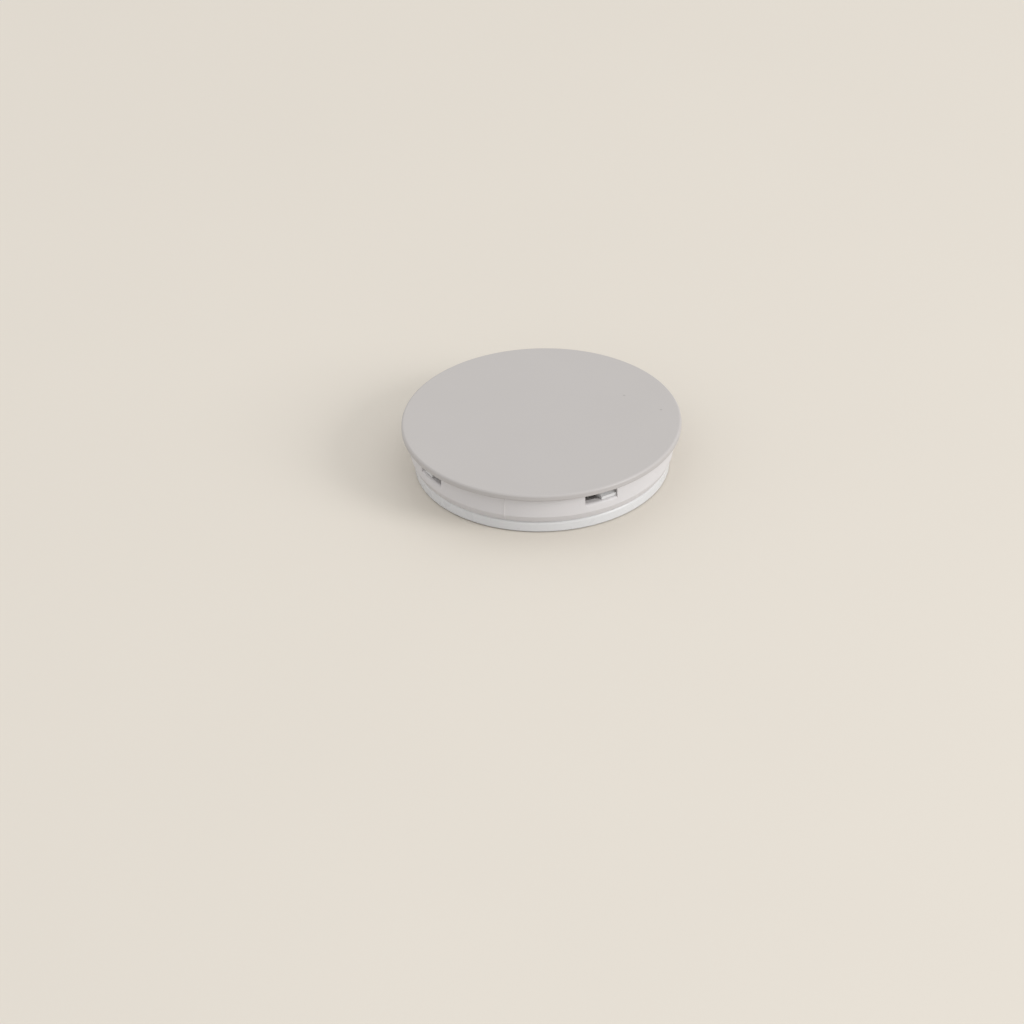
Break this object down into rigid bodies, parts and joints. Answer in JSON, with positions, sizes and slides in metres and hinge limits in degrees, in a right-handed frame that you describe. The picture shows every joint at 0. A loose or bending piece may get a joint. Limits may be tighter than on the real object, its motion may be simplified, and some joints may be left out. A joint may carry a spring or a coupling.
{
  "type": "collapsible phone grip",
  "caption": "Round collapsible grip for the back of a phone: a flat finger disc that pops out on a folding accordion from a snapped collar and an adhesive base plate.",
  "frame": {"origin": "centre of the adhesive pad's lower face, the face that sticks to the phone", "axes": "+Z away from the phone, up through the finger disc; -Y points midway between two notches of the collar, and +Y midway between the other two"},
  "size_m": [0.04, 0.04, 0.0073],
  "materials": {
    "disc_plastic": "fine satin, white",
    "core_plastic": "satin, white",
    "accordion_rubber": "soft matt, white",
    "collar_plastic": "satin, white",
    "base_plastic": "semi-gloss, white",
    "adhesive_foam": "matt foam with a tacky face"
  },
  "bodies": {
    "base": {"base_plate": "base_plastic", "collar": "collar_plastic", "adhesive_pad": "adhesive_foam", "accordion": "accordion_rubber"},
    "carriage": {"hub_core": "core_plastic"},
    "top": {"top_disc": "disc_plastic"}
  },
  "joints": [
    {"name": "pop_out", "type": "slide", "parent": "base", "child": "carriage", "axis": [0, 0, 1], "range_m": [0, 0.018], "deforming": ["accordion"]},
    {"name": "disc_swivel", "type": "hinge", "parent": "carriage", "child": "top", "pos_m": [0, 0, 0.0063], "axis": [0, 0, 1], "continuous": true}
  ]
}
